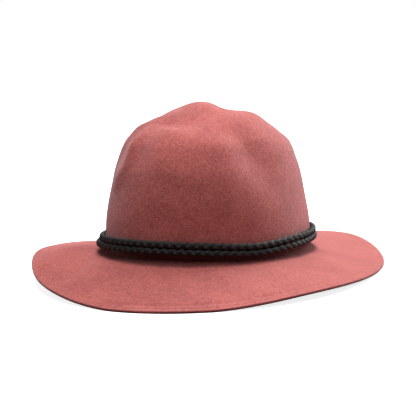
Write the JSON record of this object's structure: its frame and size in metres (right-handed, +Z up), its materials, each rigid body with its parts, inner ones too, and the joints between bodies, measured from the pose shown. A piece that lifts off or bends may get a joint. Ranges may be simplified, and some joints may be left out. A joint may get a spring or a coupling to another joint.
{
  "type": "felt hat",
  "caption": "Soft felt hat with a rounded pinched crown, a wide wavy brim and two braided cords round the foot of the crown.",
  "frame": {"origin": "centre of the hat's box on the surface that the brim rests on", "axes": "+Z up, -Y towards the hat's front, +X towards the wearer's left"},
  "size_m": [0.2989, 0.3348, 0.1424],
  "materials": {
    "felt": "brushed wool felt",
    "cord": "braided waxed cord"
  },
  "bodies": {
    "root": {"felt_body": "felt", "cord_lower": "cord", "cord_upper": "cord"}
  },
  "joints": []
}
